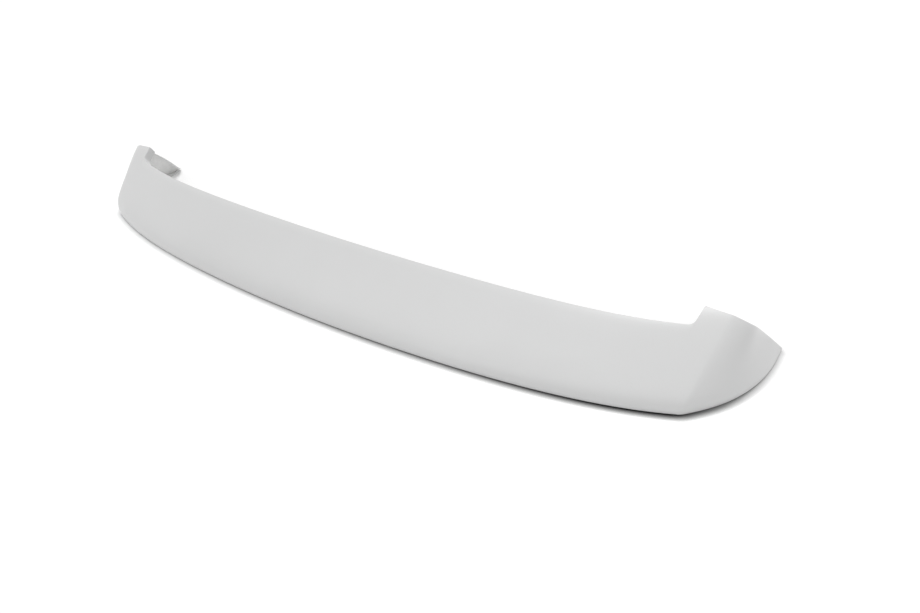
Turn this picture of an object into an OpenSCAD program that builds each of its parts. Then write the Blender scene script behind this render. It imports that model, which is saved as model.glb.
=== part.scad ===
// Roof spoiler for a hatchback, moulded in one piece as an open shell.
// It stands on its trailing edge and on the lower edges of its two cheeks.
// +X is to the right, +Y is forward, towards the roof, and +Z is up.
// The origin is at the middle of the footprint, on the floor.

/* [Trailing edge] */
// Distance between the two lower corners, where the face folds into the cheeks
rim_span = 1000; // [850:1:1050]
// How far the middle of the trailing edge bows back behind its corners
rim_bow = 51; // [30:0.5:70]
// Further sweep of the trailing edge, close to its corners
rim_sweep = 22; // [10:0.5:35]
// Width of the turned-in ledge that the trailing edge stands on
rim_ledge = 12; // [8:0.5:17]
// Radius under the trailing edge and under the cheeks
rim_radius = 4.5; // [2:0.5:6]

/* [Face] */
// Slope of the face's chord at the middle, in degrees
slope_mid = 33.7; // [28:0.1:50]
// Slope of the face's chord at the folds, in degrees
slope_end = 47; // [38:0.1:56]
// Arch of the face off its chord
camber = 11.2; // [3:0.1:14]
// Further arch of the face, close to the trailing edge
foot_curl = 9; // [0:0.1:10]
// Length of the chord that both arches span
camber_span = 150; // [140:0.5:170]

/* [Front edge] */
// Width of the face up its slope, beside the notches
face_width = 112.5; // [95:0.5:118]
// Swell of the front edge towards the middle
front_swell = 20; // [0:0.5:30]
// Hollow of the front edge between the swell and the notches
front_hollow = 8; // [0:0.1:15]

/* [Horns] */
// Width of each horn along its top, from its inner tip to the fold
horn_width = 33; // [20:0.5:60]
// Height of each horn past the front edge, up the slope
horn_rise = 26; // [10:0.5:35]
// Sideways lean of the horn's inner side
horn_flare = 1; // [0.5:0.1:8]
// Radius in the corner of each notch
notch_radius = 7; // [3:0.5:9]
// Radius on the inner tip of each horn
horn_radius = 2; // [1:0.1:4]

/* [Folds] */
// Width of the face up its slope, at the fold
fold_length = 128.2; // [115:0.1:135]
// How far the top of the fold leans out past the lower corner
fold_lean = 19.4; // [5:0.1:40]
// Distance over which the fold is rounded, on each side of its line
fold_run = 3; // [2.5:0.5:8]

/* [Cheeks] */
// Distance between the tips of the two cheeks
tip_span = 1151; // [1080:0.5:1400]
// How far the tips reach forward of the lower corners
tip_reach = 188.8; // [120:0.1:230]
// Height of the blunt end of each cheek
tip_height = 5; // [4:0.5:10]
// Outward belly of the cheek's lower edge
cheek_belly = 21.3; // [14:0.1:30]
// Upward belly of the cheek's front edge
cheek_brow = 3.3; // [0:0.1:10]
// Outward roll of the cheek's front edge, just past the fold
cheek_roll = 14; // [0:0.5:16]

/* [Skin] */
// Thickness of the moulded skin
wall = 3; // [2:0.1:4]
// Depth of the return behind the front edge, the horns and the cheeks
return_depth = 13; // [8:0.5:18]
// Radius along the outer edges
edge_radius = 1.2; // [0.5:0.1:1.8]

/* [Hidden] */
skin_color = [0.87, 0.88, 0.88];

// Stations along each half and levels up the skin
face_stations = 22;
corner_stations = 4;
horn_stations = 5;
fold_stations = 7;
cheek_stations = 18;
levels = 11;
// Steps round the foot, and powers that draw levels to the foot and stations to the fold
foot_steps = 4;
level_power = 1.5;
station_power = 1.3;

// Powers that shape the bow and the sweep of both edges
bow_power = 2;
sweep_power = 6;
// Power by which the arch turns from the face's direction to the cheek's own
turn_power = 3;
// Powers that draw the curl to the foot and the roll to the fold
curl_power = 6;
roll_power = 5;
// Share of a station's height that a ledge may fill, and how fast ledges widen from the tips
ledge_share = 0.35;
ledge_growth = 0.3;
// Share of a station's height that the radius under it may fill
foot_share = 0.24;
// Share of the room beside the fold that a return may fill
fold_share = 0.9;
// Small step used to find directions
step = 0.004;

rim_half = rim_span / 2;
fold_top_x = rim_half + fold_lean;

// Position along the half face runs from 0 at the middle to 1 at the fold.
// Level up the skin runs from 0 at the floor to 1 at the top of the fold.
horn_level = (face_width + horn_rise) / fold_length;
notch_level = face_width / fold_length;
horn_at = (fold_top_x - horn_width) / (rim_half + fold_lean * horn_level);
notch_at = horn_at - horn_flare / fold_top_x;

function unit(v) = v / norm(v);
function mix(a, b, t) = a + (b - a) * t;
function arc(a, corner, b, t) = mix(mix(a, corner, t), mix(corner, b, t), t);
function mirrored(p) = [-p[0], p[1], p[2]];
function flatten(lists) = [for (l = lists) each l];
function sweep_out(s) = -rim_bow * (1 - pow(s, bow_power)) - rim_sweep * (1 - pow(s, sweep_power));
function slope(s) = mix(slope_mid, slope_end, s * s);
// Rises from 0 to 1 and falls back to 0; a higher power draws the peak towards the start
function bump(t, power) =
    let (peak = 1 / (power + 1)) t / peak * pow((1 - t) / (1 - peak), power);
function arch(c) = camber * bump(c / camber_span, 1) + foot_curl * bump(c / camber_span, curl_power);

// Places are worked out from the line between the lower corners.
// Face: the chord rises from the trailing edge at the local slope, and the arch stands off it
function face(s, level) =
    let (c = level * fold_length, f = slope(s), off = arch(c))
    [s * (rim_half + fold_lean * level),
     sweep_out(s) + c * cos(f) - off * sin(f),
     c * sin(f) + off * cos(f)];

// Cheek: its lower and front edges are arcs from the fold to the tip, and its arch fades towards it
corner = face(1, 0);
fold_top = face(1, 1);
tip = [tip_span / 2, tip_reach, 0];
tip_top = tip + [0, 0, tip_height];
corner_to_tip = unit(tip - corner);
out = [corner_to_tip[1], -corner_to_tip[0], 0];
brow = unit(cross(tip_top - fold_top, [-1, 0, 0]));
lower_pull = (corner + tip) / 2 + 2 * cheek_belly * out;
upper_pull = (fold_top + tip_top) / 2 + 2 * cheek_brow * brow;
face_out = [0, -sin(slope_end), cos(slope_end)];
function lower(t) = arc(corner, lower_pull, tip, t);
function upper(t) = arc(fold_top, upper_pull, tip_top, t) + cheek_roll * bump(t, roll_power) * out;
function cheek_out(t) =
    let (a = max(t - step, 0), b = min(t + step, 1))
    unit(cross(lower(b) + upper(b) - lower(a) - upper(a), upper(t) - lower(t)));
function cheek(t, level) =
    let (chord = upper(t) - lower(t), turn = pow(1 - t, turn_power),
         share = norm(chord) / norm(fold_top - corner),
         off = (arch(level * fold_length) - level * arch(fold_length)) * share * share)
    lower(t) + level * chord + off * unit(mix(cheek_out(t), face_out, turn));

// A place is [on the cheek or not, position, top level, inner top level, return depth]
function skin(side, at, level) = side ? cheek(at, level) : face(at, level);
function normal(side, at, level) =
    let (a = max(at - step, 0), b = min(at + step, 1))
    unit(cross(skin(side, b, level) - skin(side, a, level),
               skin(side, at, level + step) - skin(side, at, level - step)));
function across(side, at) =
    let (a = max(at - step, 0), b = min(at + step, 1), d = unit(skin(side, b, 0) - skin(side, a, 0)))
    [-d[1], d[0], 0];
// At the fold the two directions are mitred
function mitre(a, b) = (a + b) / (1 + a * b);
function height(side, at) = side ? norm(upper(at) - lower(at)) : fold_length;

// Closed outline of the skin at one place: up the outside, round the return, down the inside
function ring(side, at, top, inner_top, back, fold = false) =
    let (tall = height(side, at),
         under = min(rim_radius, foot_share * tall * top),
         room = wall + ledge_growth * (tall * top - tip_height) + under,
         ledge = min(rim_ledge, room), turn_in = min(back, room),
         lip = min(wall, ledge_share * tall * top),
         n = function (level) fold
             ? mitre(normal(false, 1, level), normal(true, 0, level)) : normal(side, at, level),
         inward = fold ? mitre(across(false, 1), across(true, 0)) : across(side, at),
         foot = skin(side, at, 0), head = skin(side, at, top),
         rise = unit(skin(side, at, step) - foot),
         start = under / tall, soft = edge_radius / tall,
         low = (lip + wall * n(0)[2]) / (tall * rise[2]),
         high = side ? top - lip / tall : inner_top)
    concat(
        [for (i = [0:foot_steps - 1])
            arc(foot + under * inward, foot, skin(side, at, start), i / foot_steps)],
        [for (i = [0:levels]) skin(side, at, mix(start, top - soft, pow(i / levels, level_power)))],
        [for (t = [0.5, 1]) arc(skin(side, at, top - soft), head, head - edge_radius * n(top), t)],
        [head - turn_in * n(top), skin(side, at, high) - turn_in * n(high)],
        [for (i = [levels:-1:0]) let (level = mix(low, high, pow(i / levels, level_power)))
            skin(side, at, level) - wall * n(level)],
        [foot + ledge * inward + [0, 0, lip], foot + ledge * inward]);

// Front edge of the face, up to the notch
function front_level(k) =
    let (swell = front_swell * (1 - pow(k, bow_power)), hollow = front_hollow * (1 - pow(k, sweep_power)))
    (face_width + swell - hollow) / fold_length;
function inside(level) = level - wall / fold_length;
// Top of the horn, from its inner tip to the fold
function horn_top(s) = mix(horn_level, 1, (s - horn_at) / (1 - horn_at));

// Returns are cut back beside the fold, so that the two that meet there stay clear
half_turn = acos(normal(false, 1, 1) * normal(true, 0, 1)) / 2;
function return_beside_fold(gap) = min(return_depth, fold_share * gap / tan(half_turn));
fold_return = return_beside_fold(fold_run);
cheek_speed = 2 * norm(upper_pull - fold_top);
fold_from = 1 - fold_run / fold_top_x;
fold_to = fold_run / cheek_speed;

fillet_from = notch_at - notch_radius / fold_top_x;
fillet_top = [mix(notch_at, horn_at, notch_radius / horn_rise), notch_level + notch_radius / fold_length];
tip_from = [mix(horn_at, notch_at, horn_radius / horn_rise), horn_level - horn_radius / fold_length];
tip_to = horn_at + horn_radius / fold_top_x;
horn_start = tip_to + wall / fold_top_x;

face_rings = [for (i = [0:face_stations])
    let (s = fillet_from * i / face_stations, level = front_level(s / notch_at))
    ring(false, s, level, inside(level), return_depth)];
// The inside keeps to the notch's level past the horn's inner side, which leaves a wall there
notch_rings = [
    for (i = [1:corner_stations]) let (p = arc([fillet_from, front_level(fillet_from / notch_at)],
        [notch_at, notch_level], fillet_top, i / corner_stations))
        ring(false, p[0], p[1], inside(notch_level), return_depth),
    for (i = [0:corner_stations]) let (p = arc(tip_from, [horn_at, horn_level],
        [tip_to, horn_top(tip_to)], i / corner_stations))
        ring(false, p[0], p[1], inside(notch_level), return_depth)];
horn_rings = [for (i = [0:horn_stations])
    let (s = mix(horn_start, fold_from, i / horn_stations), level = horn_top(s))
    ring(false, s, level, inside(level), return_beside_fold((1 - s) * fold_top_x))];
fold_line = ring(false, 1, 1, inside(1), fold_return, fold = true);
first_cheek = ring(true, fold_to, 1, 1, fold_return);
fold_rings = [for (i = [1:fold_stations - 1])
    [for (j = [0:len(fold_line) - 1])
        arc(horn_rings[horn_stations][j], fold_line[j], first_cheek[j], i / fold_stations)]];
cheek_rings = [for (i = [0:cheek_stations])
    let (t = mix(fold_to, 1, pow(i / cheek_stations, station_power)))
    ring(true, t, 1, 1, return_beside_fold(t * cheek_speed))];

right = concat(face_rings, notch_rings, horn_rings, fold_rings, cheek_rings);
last = len(right) - 1;
left = [for (i = [last:-1:1]) [for (p = right[i]) mirrored(p)]];
rings = concat(left, right);
// The shell is moved so that the middle of its footprint is at the origin
ways = [for (p = flatten(right)) p[1]];
centre = [0, (min(ways) + max(ways)) / 2, 0];

// Skin between neighbouring outlines, with its diagonals mirrored about the middle
function wrap(count, size) = [for (i = [0:count - 2]) for (j = [0:size - 1])
    let (k = (j + 1) % size, a = i * size + j, b = i * size + k, c = a + size, d = b + size)
    each (2 * i < count - 1 ? [[a, b, d], [a, d, c]] : [[a, b, c], [b, d, c]])];
// End of the skin at a tip: a strip between outside and inside, and the two ledges.
// The lowest point of an outline is o on the outside and i on the inside.
function end_face() =
    let (o = foot_steps, i = foot_steps + 5 + 2 * levels)
    concat(
        [for (j = [0:levels - 1]) each [[o + j, i - j, i - j - 1], [o + j, i - j - 1, o + j + 1]]],
        [for (j = [0:foot_steps - 1]) [i, j + 1, j]],
        [[i, 0, i + 2], [i, i + 2, i + 1]],
        [for (j = [o + levels:o + levels + 3]) [i - levels, j + 1, j]]);

module spoiler_shell() {
    size = len(rings[0]);
    end_shift = (len(rings) - 1) * size;
    color(skin_color)
        polyhedron(
            points = [for (p = flatten(rings)) p - centre],
            faces = concat(
                wrap(len(rings), size),
                [for (f = end_face()) [f[0], f[1], f[2]]],
                [for (f = end_face()) [f[2] + end_shift, f[1] + end_shift, f[0] + end_shift]]),
            convexity = 6);
}

spoiler_shell();
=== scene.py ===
"""Rear spoiler: a one-piece moulded shell, standing on a pale studio floor.

The shell is one geometry node tree that follows the same rule as the CAD model: an outline of the
moulded skin is worked out at each station from the middle of the span to the tip of the cheek.
The sizes are the tree's named inputs, in metres and radians.
"""
import math

import bpy
from mathutils import Euler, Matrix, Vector


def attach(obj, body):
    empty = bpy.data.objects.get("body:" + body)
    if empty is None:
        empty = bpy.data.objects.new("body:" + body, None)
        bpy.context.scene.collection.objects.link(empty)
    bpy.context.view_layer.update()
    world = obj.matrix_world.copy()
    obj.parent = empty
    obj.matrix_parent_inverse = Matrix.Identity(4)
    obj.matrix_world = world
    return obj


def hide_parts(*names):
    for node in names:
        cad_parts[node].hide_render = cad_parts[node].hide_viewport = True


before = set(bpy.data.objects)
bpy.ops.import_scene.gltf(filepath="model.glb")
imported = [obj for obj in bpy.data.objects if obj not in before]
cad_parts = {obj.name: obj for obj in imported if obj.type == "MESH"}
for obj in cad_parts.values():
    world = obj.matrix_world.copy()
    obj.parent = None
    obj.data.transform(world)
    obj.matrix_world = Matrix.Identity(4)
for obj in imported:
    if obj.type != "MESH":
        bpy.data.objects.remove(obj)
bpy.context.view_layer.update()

# Sizes of the shell
SIZES = {
    "Rim half span": 0.500,
    "Rim bow": 0.051,
    "Rim sweep": 0.022,
    "Rim ledge": 0.012,
    "Rim radius": 0.0045,
    "Slope at middle": math.radians(33.7),
    "Slope at fold": math.radians(47),
    "Camber": 0.0112,
    "Foot curl": 0.009,
    "Camber span": 0.150,
    "Face width": 0.1125,
    "Front swell": 0.020,
    "Front hollow": 0.008,
    "Horn width": 0.033,
    "Horn rise": 0.026,
    "Horn flare": 0.001,
    "Notch radius": 0.007,
    "Horn radius": 0.002,
    "Fold length": 0.1282,
    "Fold lean": 0.0194,
    "Fold run": 0.003,
    "Tip half span": 0.5755,
    "Tip reach": 0.1888,
    "Tip height": 0.005,
    "Cheek belly": 0.0213,
    "Cheek brow": 0.0033,
    "Cheek roll": 0.014,
    "Wall": 0.003,
    "Return depth": 0.013,
    "Edge radius": 0.0012,
}
# Shares of a height or of a gap that ledges, the radius under them and the returns may fill
LEDGE_SHARE, LEDGE_GROWTH, FOOT_SHARE, FOLD_SHARE = 0.35, 0.3, 0.24, 0.9
# Powers that shape the long edges, the turn past the fold, the curl of the face and the cheek's roll
BOW_POWER, SWEEP_POWER, TURN_POWER, CURL_POWER, ROLL_POWER = 2, 6, 3, 6, 5
# Powers that draw the points to the foot and the stations to the fold
LEVEL_POWER, STATION_POWER = 1.5, 1.3
# Small step, as a share, that finds the directions of a surface
STEP = 0.004
# Points that are closer than this are joined, and edges with a larger angle stay crisp
WELD_DISTANCE, CRISP_ANGLE = 0.00002, 0.6


# Sums that become nodes
class Term:
    """A number or a vector in a node tree. Sums of terms add math nodes to the tree."""

    def __init__(self, tree, socket, vector=False):
        self.tree, self.socket, self.vector = tree, socket, vector

    def join(self, operation, *others):
        """A new term from this one and others, by a math node or a vector math node"""
        kind = "ShaderNodeVectorMath" if self.vector else "ShaderNodeMath"
        made = add_node(self.tree, kind, (self, *others), operation=operation)
        number = operation in ("DOT_PRODUCT", "LENGTH")
        return Term(self.tree, made.outputs[1 if number else 0], self.vector and not number)

    def __add__(self, other):
        return self.join("ADD", other)

    def __sub__(self, other):
        return self.join("SUBTRACT", other)

    def __rsub__(self, other):
        return (self * -1) + other

    def __mul__(self, other):
        if not self.vector:
            return self.join("MULTIPLY", other)
        made = add_node(self.tree, "ShaderNodeVectorMath", {0: self, "Scale": other}, operation="SCALE")
        return Term(self.tree, made.outputs[0], True)

    def __truediv__(self, other):
        return self.join("DIVIDE", other)

    def __rtruediv__(self, other):
        made = add_node(self.tree, "ShaderNodeMath", (other, self), operation="DIVIDE")
        return Term(self.tree, made.outputs[0])

    def __pow__(self, power):
        return self.join("POWER", power)

    __radd__, __rmul__ = __add__, __mul__

    def part(self, axis):
        """One of the three numbers of a vector"""
        split = add_node(self.tree, "ShaderNodeSeparateXYZ", (self,))
        return Term(self.tree, split.outputs[axis])


def add_node(tree, kind, inputs=(), **settings):
    """Adds a node, sets what it needs, and links or sets its inputs"""
    made = tree.nodes.new(kind)
    for name, setting in settings.items():
        setattr(made, name, setting)
    pairs = inputs.items() if isinstance(inputs, dict) else enumerate(inputs)
    for key, given in pairs:
        if isinstance(given, Term):
            tree.links.new(given.socket, made.inputs[key])
        else:
            made.inputs[key].default_value = given
    return made


def vector(x, y, z):
    """Three numbers, at least one of them a term, as one vector"""
    tree = next(p.tree for p in (x, y, z) if isinstance(p, Term))
    made = add_node(tree, "ShaderNodeCombineXYZ", (x, y, z))
    return Term(tree, made.outputs[0], True)


def sine(angle):
    return angle.join("SINE")


def cosine(angle):
    return angle.join("COSINE")


def least(first, second):
    return first.join("MINIMUM", second)


def most(first, second):
    return first.join("MAXIMUM", second)


def length(arrow):
    return arrow.join("LENGTH")


def dot(first, second):
    return first.join("DOT_PRODUCT", second)


def cross(first, second):
    return first.join("CROSS_PRODUCT", second)


def unit(arrow):
    return arrow.join("NORMALIZE")


def mix(first, second, share):
    return first + (second - first) * share


def arc(start, corner, end, share):
    """Point on the arc from start to end that is pulled towards corner"""
    return mix(mix(start, corner, share), mix(corner, end, share), share)


def mitre(first, second):
    """Direction that keeps both walls at their thickness where two surfaces meet"""
    return (first + second) * (1 / (dot(first, second) + 1))


def by_number(count, *choices):
    """The value whose last number isn't passed by count yet; choices are pairs of last number and value"""
    *earlier, (_, chosen) = choices
    for last, value in reversed(earlier):
        within = count.join("LESS_THAN", last + 0.5)
        made = add_node(count.tree, "GeometryNodeSwitch", {"Switch": within, "False": chosen, "True": value},
                        input_type="FLOAT")
        chosen = Term(count.tree, made.outputs[0])
    return chosen


def share_between(count, first, last):
    """0 up to the first number, 1 from the last, and even steps between them"""
    made = add_node(count.tree, "ShaderNodeMapRange", {"Value": count, "From Min": first, "From Max": last})
    return Term(count.tree, made.outputs[0])


def spaced(given):
    """The same entries, with a space for each underscore in their names"""
    return {name.replace("_", " "): entry for name, entry in given.items()}


def place(tree, rule, given):
    """Puts a rule's group in a tree, with a term or a number for each of its inputs, and names its results"""
    made = add_node(tree, rule.PLACED, {name: given[name] for name in rule.names}, node_tree=rule.tree)
    return {name: Term(tree, made.outputs[name], is_vector) for name, is_vector in rule.results.items()}


class Rule:
    """A geometry node group with named inputs and outputs, written as sums of terms"""
    TREE, PLACED = "GeometryNodeTree", "GeometryNodeGroup"

    def __init__(self, name, numbers=(), vectors=()):
        self.tree = bpy.data.node_groups.new(name, self.TREE)
        for names, kind in ((numbers, "NodeSocketFloat"), (vectors, "NodeSocketVector")):
            for n in names:
                self.tree.interface.new_socket(name=n, in_out="INPUT", socket_type=kind)
        self.entry = self.tree.nodes.new("NodeGroupInput")
        self.names = {**{n: False for n in numbers}, **{n: True for n in vectors}}

    def __getitem__(self, name):
        return Term(self.tree, self.entry.outputs[name], self.names[name])

    def give(self, **results):
        """Makes the outputs"""
        results = spaced(results)
        for name, term in results.items():
            kind = "NodeSocketVector" if term.vector else "NodeSocketFloat"
            self.tree.interface.new_socket(name=name, in_out="OUTPUT", socket_type=kind)
        add_node(self.tree, "NodeGroupOutput", results)
        self.results = {name: term.vector for name, term in results.items()}
        return self

    def use(self, inner, **given):
        """Places another rule here. Its inputs that aren't given come from this rule's own inputs"""
        own = {name: self[name] for name in inner.names if name in self.names}
        return place(self.tree, inner, {**own, **spaced(given)})


class Finish(Rule):
    """A shader node group with named inputs and outputs, written as sums of terms"""
    TREE, PLACED = "ShaderNodeTree", "ShaderNodeGroup"


# The two surfaces, face and cheek
FACE_SIZES = ("Rim half span", "Rim bow", "Rim sweep", "Slope at middle", "Slope at fold",
              "Camber", "Foot curl", "Camber span", "Fold length", "Fold lean")
CHEEK_SIZES = ("Slope at fold", "Camber", "Foot curl", "Camber span", "Fold length", "Cheek roll")
CHEEK_PLACES = ("Corner", "Lower pull", "Tip", "Fold top", "Upper pull", "Tip top", "Out")
# The lower and the upper end of a surface, on the surface itself
AT_FOOT = {"Level": 0.0, "Depth": 0.0, "Inward": 0.0, "Up": 0.0}
AT_TOP = {**AT_FOOT, "Level": 1.0}


def bump(share, power):
    """Rises from 0 to 1 and falls back to 0; a higher power draws the peak towards the start"""
    return share * (power + 1) * ((1 - share) * ((power + 1) / power)) ** power


def bump_slope(share, power):
    """How fast the bump rises"""
    steepest = (power + 1) * ((power + 1) / power) ** power
    return (1 - share) ** (power - 1) * (1 - share * (power + 1)) * steepest


def arch(rule, climb):
    """How far the face stands off its chord, at a climb up the slope"""
    share = climb / rule["Camber span"]
    return rule["Camber"] * bump(share, 1) + rule["Foot curl"] * bump(share, CURL_POWER)


def front_arc(sizes, places, share):
    """Point on the cheek's front edge: an arc that rolls outward just past the fold"""
    roll = places["Out"] * (sizes["Cheek roll"] * bump(share, ROLL_POWER))
    return arc(places["Fold top"], places["Upper pull"], places["Tip top"], share) + roll


def make_face_point():
    """Point on the face, from its share of the half span and its level up the slope"""
    rule = Rule("Face point", ("Across", "Level", *FACE_SIZES))
    across, climb = rule["Across"], rule["Level"] * rule["Fold length"]
    slope = mix(rule["Slope at middle"], rule["Slope at fold"], across * across)
    off = arch(rule, climb)
    back = rule["Rim bow"] * (1 - across ** BOW_POWER) + rule["Rim sweep"] * (1 - across ** SWEEP_POWER)
    return rule.give(Point=vector(
        across * (rule["Rim half span"] + rule["Fold lean"] * rule["Level"]),
        climb * cosine(slope) - off * sine(slope) - back,
        climb * sine(slope) + off * cosine(slope)))


def make_cheek_point():
    """Point on the cheek, from its share of the way to the tip and its level"""
    rule = Rule("Cheek point", ("Along", "Level", *CHEEK_SIZES), CHEEK_PLACES)
    along, level = rule["Along"], rule["Level"]
    corner, lower_pull, tip, fold_top, upper_pull, tip_top, out = (rule[n] for n in CHEEK_PLACES)
    lower = arc(corner, lower_pull, tip, along)
    chord = front_arc(rule, rule, along) - lower
    # Mean way along both edges; only the front one rolls, so half of the roll's rise counts
    run = mix(lower_pull - corner + upper_pull - fold_top, tip - lower_pull + tip_top - upper_pull, along) \
        + out * (rule["Cheek roll"] * bump_slope(along, ROLL_POWER) * 0.5)
    face_out = vector(0, sine(rule["Slope at fold"]) * -1, cosine(rule["Slope at fold"]))
    outward = unit(mix(unit(cross(run, chord)), face_out, (1 - along) ** TURN_POWER))
    fold_length = rule["Fold length"]
    off = arch(rule, level * fold_length) - level * arch(rule, fold_length)
    # The arch fades as the cheek gets lower
    fade = (length(chord) / length(fold_top - corner)) ** 2
    return rule.give(Point=lower + chord * level + outward * (off * fade))


def make_skin(name, point, along):
    """Point of the moulding beside a surface: below it by a depth, and further in and up at its foot"""
    rule = Rule(name, (along, "Level", "Depth", "Inward", "Up", *[n for n in point.names if n in SIZES]),
                [n for n in point.names if n in CHEEK_PLACES])
    at, level = rule[along], rule["Level"]

    def surface(at, level):
        return rule.use(point, **{along: at, "Level": level})["Point"]

    normal = unit(cross(surface(at + STEP, level) - surface(at - STEP, level),
                        surface(at, level + STEP) - surface(at, level - STEP)))
    way = unit(surface(at + STEP, 0.0) - surface(at - STEP, 0.0))
    inward = vector(way.part(1) * -1, way.part(0), 0.0)
    foot_rise = unit(surface(at, STEP) - surface(at, 0.0))
    foot_normal = unit(cross(way, foot_rise))
    spot = surface(at, level) - normal * rule["Depth"] + inward * rule["Inward"] \
        + vector(0.0, 0.0, rule["Up"])
    return rule.give(Point=spot, Surface=surface(at, level), Normal=normal, Inward_way=inward,
                     Foot_rise=foot_rise.part(2), Foot_lean=foot_normal.part(2))


# The outline of the skin: the numbers of the points that end its stretches, in order round it
FOOT, OUTER, BROW, RETURN, END, BEHIND, INNER, LEDGE = 8, 36, 41, 44, 45, 47, 73, 74
OUTLINE = LEDGE + 2


def make_outline():
    """Level, depth and foot offsets of each point of the closed outline, in order round it"""
    rule = Rule("Outline", ("Number", "Top", "Inside top", "Tall", "Back", "Foot rise", "Foot lean",
                            "Wall", "Edge radius", "Rim ledge", "Rim radius", "Tip height"))
    number, top, tall = rule["Number"], rule["Top"], rule["Tall"]
    wall, soft = rule["Wall"], rule["Edge radius"]
    under = least(rule["Rim radius"], FOOT_SHARE * tall * top)
    room = wall + LEDGE_GROWTH * (tall * top - rule["Tip height"]) + under
    lip = least(wall, LEDGE_SHARE * tall * top)
    turn_in, ledge = least(rule["Back"], room), least(rule["Rim ledge"], room)
    low = (lip + wall * rule["Foot lean"]) / (tall * rule["Foot rise"])
    high = rule["Inside top"]
    start, edge = under / tall, soft / tall

    foot, brow = share_between(number, 0, FOOT), share_between(number, OUTER, BROW)
    level = by_number(
        number, (FOOT, start * foot * foot),
        (OUTER, mix(start, top - edge, share_between(number, FOOT, OUTER) ** LEVEL_POWER)),
        (BROW, top - edge * (1 - brow) ** 2),
        (RETURN, top),
        (BEHIND, mix(top, high, share_between(number, RETURN, END))),
        (INNER, mix(low, high, (1 - share_between(number, BEHIND, INNER)) ** LEVEL_POWER)),
        (None, 0.0))
    depth = by_number(
        number, (OUTER, 0.0),
        (BROW, soft * brow * brow),
        (END, mix(soft, turn_in, share_between(number, BROW, RETURN))),
        (BEHIND, mix(turn_in, wall, share_between(number, END, BEHIND))),
        (INNER, wall),
        (None, 0.0))
    inward = by_number(
        number, (FOOT, under * (1 - foot) ** 2), (INNER, 0.0), (LEDGE + 1, ledge), (None, under))
    up = by_number(number, (INNER, 0.0), (LEDGE, lip), (None, 0.0))
    return rule.give(Level=level, Depth=depth, Inward=inward, Up=up)


# The stations at the ends of the stretches, from the middle of the span to the tip of the cheek
FACE_END, NOTCH_END, HORN_TIP, HORN_TIP_END, HORN_END, FOLD_END, CHEEK_END = 72, 80, 81, 87, 95, 109, 149
STATIONS = CHEEK_END + 2


def cheek_places(size, fold_top):
    """Ends of the cheek's two long edges, the points that pull them, and the way out from the cheek"""
    corner = vector(size["Rim half span"], 0.0, 0.0)
    tip = vector(size["Tip half span"], size["Tip reach"], 0.0)
    tip_top = tip + vector(0.0, 0.0, size["Tip height"])
    along = unit(tip - corner)
    out = vector(along.part(1), along.part(0) * -1, 0.0)
    front = tip_top - fold_top
    over = unit(vector(0.0, front.part(2) * -1, front.part(1)))
    # An arc goes half as far from its chord as the point that pulls it
    return {
        "Corner": corner, "Tip": tip, "Fold top": fold_top, "Tip top": tip_top, "Out": out,
        "Lower pull": (corner + tip) * 0.5 + out * (size["Cheek belly"] * 2),
        "Upper pull": (fold_top + tip_top) * 0.5 + over * (size["Cheek brow"] * 2),
    }


def front_edge(size, station, fold_x):
    """Share of the half span, top level and inside top level at each station up to the fold"""
    fold_length = size["Fold length"]
    horn_level = (size["Face width"] + size["Horn rise"]) / fold_length
    notch_level = size["Face width"] / fold_length
    horn_at = (fold_x - size["Horn width"]) / (size["Rim half span"] + size["Fold lean"] * horn_level)
    notch_at = horn_at - size["Horn flare"] / fold_x
    inside = size["Wall"] / fold_length

    def front_level(share):
        swell = size["Front swell"] * (1 - share ** BOW_POWER)
        hollow = size["Front hollow"] * (1 - share ** SWEEP_POWER)
        return (size["Face width"] + swell - hollow) / fold_length

    def horn_top(share):
        return mix(horn_level, 1.0, (share - horn_at) / (1 - horn_at))

    fillet_from = notch_at - size["Notch radius"] / fold_x
    fillet_to = mix(notch_at, horn_at, size["Notch radius"] / size["Horn rise"])
    fillet_top = notch_level + size["Notch radius"] / fold_length
    tip_from = mix(horn_at, notch_at, size["Horn radius"] / size["Horn rise"])
    tip_level = horn_level - size["Horn radius"] / fold_length
    tip_to = horn_at + size["Horn radius"] / fold_x
    horn_start = tip_to + size["Wall"] / fold_x
    fold_from = 1 - size["Fold run"] / fold_x

    face_across = fillet_from * share_between(station, 0, FACE_END)
    notch_share = share_between(station, FACE_END, NOTCH_END)
    tip_share = share_between(station, HORN_TIP, HORN_TIP_END)
    horn_across = mix(horn_start, fold_from, share_between(station, HORN_TIP_END + 1, HORN_END))
    across = by_number(
        station, (FACE_END, face_across),
        (NOTCH_END, arc(fillet_from, notch_at, fillet_to, notch_share)),
        (HORN_TIP_END, arc(tip_from, horn_at, tip_to, tip_share)),
        (None, horn_across))
    top = by_number(
        station, (FACE_END, front_level(face_across / notch_at)),
        (NOTCH_END, arc(front_level(fillet_from / notch_at), notch_level, fillet_top, notch_share)),
        (HORN_TIP_END, arc(tip_level, horn_level, horn_top(tip_to), tip_share)),
        (None, horn_top(horn_across)))
    inside_top = by_number(
        station, (FACE_END, top - inside), (HORN_TIP_END, notch_level - inside), (None, top - inside))
    return across, top, inside_top


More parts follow.
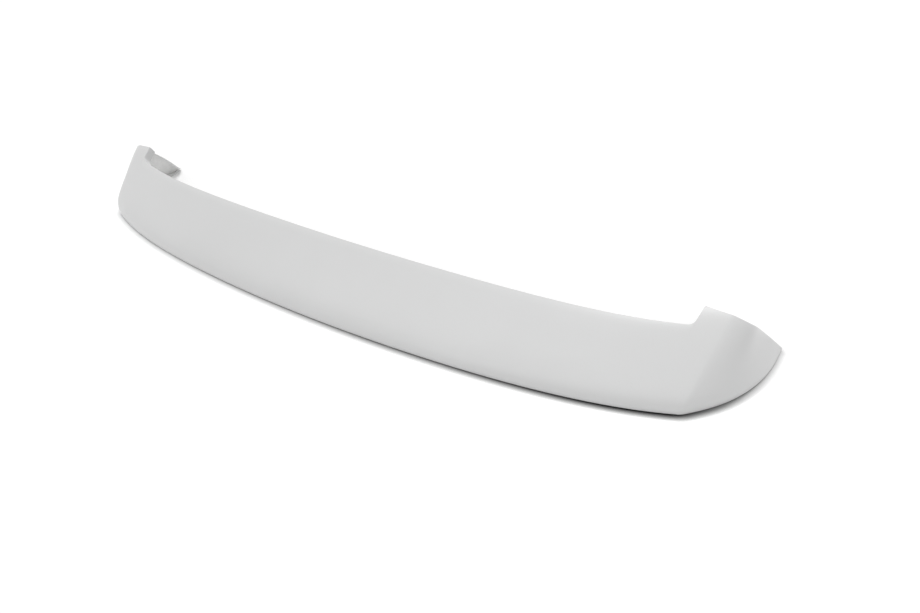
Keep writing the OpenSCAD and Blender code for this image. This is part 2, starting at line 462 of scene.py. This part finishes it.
def make_shell():
    """The tree, its grid of stations and outline points, where each point goes, and its outline number"""
    face_point, cheek_point = make_face_point(), make_cheek_point()
    face_skin = make_skin("Face skin", face_point, "Across")
    cheek_skin = make_skin("Cheek skin", cheek_point, "Along")
    outline = make_outline()

    rule = Rule("Moulded shell", tuple(SIZES))
    tree = rule.tree
    tree.interface.new_socket(name="Material", in_out="INPUT", socket_type="NodeSocketMaterial")
    tree.interface.new_socket(name="Geometry", in_out="OUTPUT", socket_type="NodeSocketGeometry")
    size = {n: rule[n] for n in SIZES}

    grid = add_node(tree, "GeometryNodeMeshGrid", {"Vertices X": STATIONS, "Vertices Y": OUTLINE + 1})
    index = Term(tree, tree.nodes.new("GeometryNodeInputIndex").outputs[0])
    station = (index / (OUTLINE + 1)).join("FLOOR")
    number = index - station * (OUTLINE + 1)

    fold_top = rule.use(face_point, Across=1.0, Level=1.0)["Point"]
    places = cheek_places(size, fold_top)
    fold_x = size["Rim half span"] + size["Fold lean"]
    across, top, inside_top = front_edge(size, station, fold_x)

    # Returns are cut back beside the fold
    face_normal = rule.use(face_skin, Across=1.0, **AT_TOP)["Normal"]
    cheek_normal = rule.use(cheek_skin, Along=0.0, **AT_TOP, **places)["Normal"]
    half_turn = dot(face_normal, cheek_normal).join("ARCCOSINE") * 0.5
    per_gap = FOLD_SHARE / half_turn.join("TANGENT")

    def return_beside_fold(gap):
        return least(size["Return depth"], gap * per_gap)

    cheek_speed = length(places["Upper pull"] - fold_top) * 2
    fold_to = size["Fold run"] / cheek_speed
    along = mix(fold_to, 1.0, share_between(station, FOLD_END, CHEEK_END) ** STATION_POWER)

    # The three outlines, and the fold that turns from the first through the second to the third
    def ring(skin, at, top, inside_top, tall, back, more):
        """The outline beside one of the two surfaces, and the level and offsets of each of its points"""
        foot = rule.use(skin, **at, **AT_FOOT, **more)
        moves = rule.use(outline, Number=number, Top=top, Inside_top=inside_top, Tall=tall, Back=back,
                         Foot_rise=foot["Foot rise"], Foot_lean=foot["Foot lean"])
        return rule.use(skin, **at, **moves, **more), moves

    face, _ = ring(face_skin, {"Across": across}, top, inside_top, size["Fold length"],
                   return_beside_fold((1 - across) * fold_x), {})

    fold, moves = ring(face_skin, {"Across": 1.0}, 1.0, 1 - size["Wall"] / size["Fold length"],
                       size["Fold length"], return_beside_fold(size["Fold run"]), {})
    past = rule.use(cheek_skin, Along=0.0, **{**AT_FOOT, "Level": moves["Level"]}, **places)
    folded = fold["Surface"] - mitre(fold["Normal"], past["Normal"]) * moves["Depth"] \
        + mitre(fold["Inward way"], past["Inward way"]) * moves["Inward"] + vector(0.0, 0.0, moves["Up"])

    lower = arc(places["Corner"], places["Lower pull"], places["Tip"], along)
    tall = length(front_arc(size, places, along) - lower)
    lip = least(size["Wall"], LEDGE_SHARE * tall)
    cheek, _ = ring(cheek_skin, {"Along": along}, 1.0, 1 - lip / tall, tall,
                    return_beside_fold(along * cheek_speed), places)

    turned = arc(face["Point"], folded, cheek["Point"], share_between(station, HORN_END, FOLD_END))

    # The last station closes the end of the skin along its middle
    climb = 1 - ((number * (2 / OUTLINE)) - 1).join("ABSOLUTE")
    middle = {**AT_FOOT, "Level": climb, "Depth": size["Wall"] * 0.5}
    closing = rule.use(cheek_skin, Along=1.0, **middle, **places)["Point"]
    last = share_between(station, CHEEK_END, CHEEK_END + 1)
    return tree, grid, mix(turned, closing, last), number


def make_shell_tree():
    """Centres the half shell, marks it for its finish, mirrors it and closes its seams"""
    tree, grid, spots, number = make_shell()

    def after(kind, source, key="Geometry", inputs=(), **settings):
        made = add_node(tree, kind, inputs, **settings)
        tree.links.new(source, made.inputs[key])
        return made.outputs[0]

    shaped = after("GeometryNodeSetPosition", grid.outputs["Mesh"], inputs={"Position": spots})
    # The shell is moved so that the middle of its footprint is at the origin
    box = add_node(tree, "GeometryNodeBoundBox", {"Geometry": Term(tree, shaped)})
    middle = (Term(tree, box.outputs["Min"], True) + Term(tree, box.outputs["Max"], True)).part(1) * -0.5
    marked = after("GeometryNodeSetPosition", shaped, inputs={"Offset": vector(0.0, middle, 0.0)})
    # Marks for the finish: the inner side, and the top edges, which are rubbed down and also get a painted
    # highlight
    inner = number.join("GREATER_THAN", END - 0.5) * number.join("LESS_THAN", LEDGE + 0.5)
    edge_wear_and_highlight = share_between(number, OUTER - 2, OUTER + 1) * (1 - share_between(number, BROW - 1, BROW + 1))
    for name, mark in (("inner_side", inner), ("worn_edge_highlight", edge_wear_and_highlight)):
        marked = after("GeometryNodeStoreNamedAttribute", marked, data_type="FLOAT", domain="POINT",
                       inputs={"Name": name, "Value": mark})
    mirrored = after("GeometryNodeTransform", marked, inputs={"Scale": (-1.0, 1.0, 1.0)})
    turned = after("GeometryNodeFlipFaces", mirrored, key="Mesh")
    both = tree.nodes.new("GeometryNodeJoinGeometry")
    for half in (marked, turned):
        tree.links.new(half, both.inputs[0])
    welded = after("GeometryNodeMergeByDistance", both.outputs[0], inputs={"Distance": WELD_DISTANCE})
    smooth = after("GeometryNodeSetShadeSmooth", welded, domain="FACE")
    angle = Term(tree, tree.nodes.new("GeometryNodeInputMeshEdgeAngle").outputs[0])
    creased = after("GeometryNodeSetShadeSmooth", smooth, domain="EDGE",
                    inputs={"Selection": angle.join("GREATER_THAN", CRISP_ANGLE), "Shade Smooth": False})
    plain = after("GeometryNodeRealizeInstances", creased)
    entry = next(n for n in tree.nodes if n.bl_idname == "NodeGroupInput")
    finished = after("GeometryNodeSetMaterial", plain,
                     inputs={"Material": Term(tree, entry.outputs["Material"])})
    add_node(tree, "NodeGroupOutput", {"Geometry": Term(tree, finished)})
    return tree


def build_skin(material_used):
    """Runs the tree once with its sizes, and keeps what it makes as a plain mesh"""
    tree = make_shell_tree()
    carrier = bpy.data.objects.new("shell_carrier", bpy.data.meshes.new("shell_carrier"))
    bpy.context.scene.collection.objects.link(carrier)
    modifier = carrier.modifiers.new("Moulded shell", "NODES")
    modifier.node_group = tree
    values = {**SIZES, "Material": material_used}
    for item in tree.interface.items_tree:
        if item.item_type == "SOCKET" and item.in_out == "INPUT":
            modifier[item.identifier] = values[item.name]
    carrier.update_tag()
    bpy.context.view_layer.update()
    made = bpy.data.meshes.new_from_object(carrier.evaluated_get(bpy.context.evaluated_depsgraph_get()))
    carrier.modifiers.remove(modifier)
    bpy.data.objects.remove(carrier)
    made.name = "spoiler_skin"
    piece = bpy.data.objects.new("spoiler_skin", made)
    bpy.context.scene.collection.objects.link(piece)
    return piece


# Looks of the outer side: colours, how strongly two of them cover, and the thin coat
SKIN_SHADE, SKIN_LIGHT = (0.590, 0.592, 0.592), (0.612, 0.614, 0.614)
# The rubbed colour makes the top edges lighter: partly wear, partly a painted highlight
SKIN_SPECK, SKIN_WORN_HIGHLIGHT = (0.54, 0.54, 0.535), (0.66, 0.66, 0.66)
SPECK_COVER, WORN_HIGHLIGHT_COVER = 0.25, 0.6
COAT, COAT_ROUGHNESS = 0.5, 0.28
# Range of the outer side's roughness, and how much rubbing changes it
SATIN_ROUGHNESS, RUBBED_ROUGHNESS = (0.36, 0.44), -0.05
# Looks of the inner side: colours, its roughness and what a strand adds to it
MAT_RESIN, MAT_STRAND = (0.90, 0.90, 0.89), (0.94, 0.94, 0.935)
MATT_ROUGHNESS, STRAND_ROUGHNESS = 0.62, 0.1
# Sizes and depths of the moulded grain and of the fibre mat, in metres
GRAIN = {"Peel size": 0.0022, "Peel depth": 0.000006, "Wave size": 0.045, "Wave depth": 0.00006,
         "Cloud size": 0.16}
FIBRES = {"Strand length": 0.03, "Strand width": 0.0022, "Strand depth": 0.00012}
# Size of a speck as a share of the peel's, and the angles by which strands are turned about an axis
SPECK_SHARE, STRAND_TURNS, STRAND_AXIS = 0.6, (0.3, 1.35, 2.4), (0.25, 0.5, 0.85)
# Values of the noises between which specks, strands and clouds come up
SPECK_RANGE, STRAND_RANGE, CLOUD_RANGE = (0.68, 0.80), (0.5, 0.75), (0.3, 0.7)
# How fine the detail of a noise gets, for most of them, the clouds and the specks
DETAIL, CLOUD_DETAIL, SPECK_DETAIL = 2.0, 4.0, 0.0
# Numbers of a mix node's sockets for its share and its two colours, and for the colour it gives
MIX_INPUTS, MIX_RESULT = (0, 6, 7), 2


def noise(spot, size, detail=DETAIL):
    """Soft noise from 0 to 1 whose patches are about size across"""
    made = add_node(spot.tree, "ShaderNodeTexNoise",
                    {"Vector": spot * (1 / size), "Scale": 1.0, "Detail": detail})
    return Term(spot.tree, made.outputs[0])


def make_moulded_grain():
    """Orange peel and slow waves as height in metres, clouds for tone and gloss, and fine specks"""
    rule = Finish("Moulded grain", tuple(GRAIN), ("Spot",))
    spot = rule["Spot"]
    peel = noise(spot, rule["Peel size"]) * rule["Peel depth"]
    waves = noise(spot, rule["Wave size"]) * rule["Wave depth"]
    clouds = noise(spot, rule["Cloud size"], CLOUD_DETAIL)
    specks = share_between(noise(spot, rule["Peel size"] * SPECK_SHARE, SPECK_DETAIL), *SPECK_RANGE)
    return rule.give(Height=peel + waves, Clouds=clouds, Specks=specks)


def make_fibre_mat():
    """Chopped strands that show through the inner side: height and mask from crossing stretched noises"""
    rule = Finish("Fibre mat", tuple(FIBRES), ("Spot",))
    mat = None
    for turn in STRAND_TURNS:
        turned = add_node(rule.tree, "ShaderNodeVectorRotate",
                          {"Vector": rule["Spot"], "Angle": turn, "Axis": STRAND_AXIS},
                          rotation_type="AXIS_ANGLE")
        spread = vector(1 / rule["Strand length"], 1 / rule["Strand width"], 1 / rule["Strand width"])
        strands = noise(Term(rule.tree, turned.outputs[0], True).join("MULTIPLY", spread), 1.0)
        mat = strands if mat is None else most(mat, strands)
    mask = share_between(mat, *STRAND_RANGE)
    return rule.give(Height=mask * rule["Strand depth"], Mask=mask)


def blend(tree, share, first, second):
    """Colour between two others, each of them a term or three numbers"""
    ends = [c if isinstance(c, Term) else (*c, 1.0) for c in (first, second)]
    made = add_node(tree, "ShaderNodeMix", dict(zip(MIX_INPUTS, (share, *ends))), data_type="RGBA")
    return Term(tree, made.outputs[MIX_RESULT])


def new_material(name):
    """A material with nodes, and its tree"""
    made = bpy.data.materials.new(name)
    made.use_nodes = True
    return made, made.node_tree


def object_spot(tree):
    """Place on the object, in metres"""
    return Term(tree, add_node(tree, "ShaderNodeTexCoord").outputs["Object"], True)


def moulded_skin():
    """Satin off-white skin outside, with a matt inner side where the fibre mat shows faintly"""
    made, tree = new_material("satin_moulded_skin")
    shader = tree.nodes["Principled BSDF"]
    spot = object_spot(tree)
    inner, edge_wear_and_highlight = (Term(tree, add_node(tree, "ShaderNodeAttribute", attribute_name=name).outputs["Fac"])
                     for name in ("inner_side", "worn_edge_highlight"))
    grain = place(tree, make_moulded_grain(), {"Spot": spot, **GRAIN})
    fibres = place(tree, make_fibre_mat(), {"Spot": spot, **FIBRES})

    outside = blend(tree, share_between(grain["Clouds"], *CLOUD_RANGE), SKIN_SHADE, SKIN_LIGHT)
    outside = blend(tree, grain["Specks"] * SPECK_COVER, outside, SKIN_SPECK)
    # Top edges lighter: partly wear, partly a painted highlight
    outside = blend(tree, edge_wear_and_highlight * WORN_HIGHLIGHT_COVER, outside, SKIN_WORN_HIGHLIGHT)
    inside = blend(tree, fibres["Mask"], MAT_RESIN, MAT_STRAND)
    satin = mix(*SATIN_ROUGHNESS, grain["Clouds"]) + edge_wear_and_highlight * RUBBED_ROUGHNESS
    matt = MATT_ROUGHNESS + fibres["Mask"] * STRAND_ROUGHNESS
    relief = add_node(tree, "ShaderNodeBump",
                      {"Height": mix(grain["Height"], fibres["Height"], inner), "Distance": 1.0})
    for name, term in (("Base Color", blend(tree, inner, outside, inside)),
                       ("Roughness", mix(satin, matt, inner)),
                       ("Coat Weight", mix(COAT, 0.0, inner)),
                       ("Normal", Term(tree, relief.outputs[0]))):
        tree.links.new(term.socket, shader.inputs[name])
    shader.inputs["Coat Roughness"].default_value = COAT_ROUGHNESS
    return made


skin = build_skin(moulded_skin())
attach(skin, "root")
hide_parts("spoiler_shell")

# Stage: the floor's colour where it lights the object and where it is seen, and half its side
FLOOR_LIT, FLOOR_SEEN, FLOOR_HALF = (0.9, 0.9, 0.9), (1.06, 1.06, 1.06), 8
# Painted contact shadow right beside the part's foot, in the floor's seen colour: its colour, how far it
# reaches, and the power that deepens it
CONTACT_SHADOW_COLOUR, CONTACT_REACH, CONTACT_DEPTH = (0.0, 0.0, 0.0), 0.010, 3
# Between these places along the span it grows from a share to full, and then loses a share again
CONTACT_GROWS, FAINT_SHARE = (-0.45, 0.42), 0.25
CONTACT_FADES, FADED_SHARE = (0.49, 0.57), 0.45
# It is left out beyond the far end of the face, where the floor is also behind the face
FAR_END, BEHIND_FACE = (-0.45, -0.30), (-0.02, 0.05)
# Strength of the even light from all round
AIR_LIGHT = 0.33
# Way to each soft lamp, its strength, and how wide it looks in degrees
LAMPS = {
    "soft_top_lamp": ((-0.12, -0.10, 1.0), 0.7, 80),
    "soft_box_lamp": ((0.0, 0.03, 1.0), 0.95, 24),
    "soft_front_lamp": ((0.36, -1.21, 0.31), 1.0, 80),
    "soft_back_lamp": ((0.15, 1.0, 0.25), 0.55, 50),
}
# Times that way that a lamp stands off; the light of a sun lamp doesn't depend on it
LAMP_REACH = 3
# Place of the camera, its pitch and turn in degrees, and its focal length in millimetres
CAMERA_PLACE, CAMERA_PITCH, CAMERA_TURN, CAMERA_LENS = (0.57747, -0.67044, 0.52921), 56.07, 31.292, 26.22


def seen_share(tree):
    """1 for what the camera sees, straight or in a gloss or glass, and 0 for the light on the object"""
    rays = add_node(tree, "ShaderNodeLightPath")
    camera, gloss, clear = (Term(tree, rays.outputs[n]) for n in (
        "Is Camera Ray", "Is Glossy Ray", "Is Transmission Ray"))
    return most(most(camera, gloss), clear)


def studio_floor():
    """Pale floor that keeps the object's shadow, with a painted contact shadow in its seen colour right
    beside the object's foot
    """
    made, tree = new_material("studio_floor")
    tree.nodes.clear()
    spot = object_spot(tree)
    across, along = spot.part(0), spot.part(1)
    # Painted contact shadow: the seen colour darkens where the object closes the floor in
    nearby = add_node(tree, "ShaderNodeAmbientOcclusion", {"Distance": CONTACT_REACH})
    gap = 1 - Term(tree, nearby.outputs["AO"]) ** CONTACT_DEPTH
    growth = mix(FAINT_SHARE, 1.0, share_between(across, *CONTACT_GROWS))
    deep = growth * (1 - share_between(across, *CONTACT_FADES) * FADED_SHARE)
    behind = share_between(along, *BEHIND_FACE) * (1 - share_between(across, *FAR_END))
    seen = blend(tree, gap * deep * (1 - behind), FLOOR_SEEN, CONTACT_SHADOW_COLOUR)
    colour = blend(tree, seen_share(tree), FLOOR_LIT, seen)
    paint = add_node(tree, "ShaderNodeBsdfDiffuse", {"Color": colour})
    add_node(tree, "ShaderNodeOutputMaterial", {"Surface": Term(tree, paint.outputs[0])})
    return made


def studio_air():
    """White all round where it is seen, and even light on the object"""
    world = bpy.data.worlds.new("studio_air")
    world.use_nodes = True
    tree = world.node_tree
    tree.nodes.clear()
    light, white = (add_node(tree, "ShaderNodeBackground", {"Color": (1, 1, 1, 1), "Strength": strength})
                    for strength in (AIR_LIGHT, 1.0))
    chosen = add_node(tree, "ShaderNodeMixShader", {
        0: seen_share(tree), 1: Term(tree, light.outputs[0]), 2: Term(tree, white.outputs[0])})
    add_node(tree, "ShaderNodeOutputWorld", {"Surface": Term(tree, chosen.outputs[0])})
    return world


floor = bpy.data.objects.new("studio_floor", bpy.data.meshes.new("studio_floor"))
floor_corners = [(x * FLOOR_HALF, y * FLOOR_HALF, 0) for x, y in ((-1, -1), (1, -1), (1, 1), (-1, 1))]
floor.data.from_pydata(floor_corners, [], [(0, 1, 2, 3)])
floor.data.materials.append(studio_floor())
bpy.context.scene.collection.objects.link(floor)
bpy.context.scene.world = studio_air()

for lamp_name, (way, strength, width) in LAMPS.items():
    lamp_data = bpy.data.lights.new(lamp_name, "SUN")
    lamp_data.energy = strength
    lamp_data.angle = math.radians(width)
    lamp = bpy.data.objects.new(lamp_name, lamp_data)
    lamp.location = Vector(way) * LAMP_REACH
    lamp.rotation_euler = Vector(way).to_track_quat("Z", "Y").to_euler()
    bpy.context.scene.collection.objects.link(lamp)

camera_data = bpy.data.cameras.new("camera")
camera_data.lens = CAMERA_LENS
camera = bpy.data.objects.new("camera", camera_data)
camera.location = CAMERA_PLACE
camera.rotation_euler = Euler((math.radians(CAMERA_PITCH), 0, math.radians(CAMERA_TURN)))
bpy.context.scene.collection.objects.link(camera)
bpy.context.scene.camera = camera
bpy.context.scene.view_settings.view_transform = "Standard"
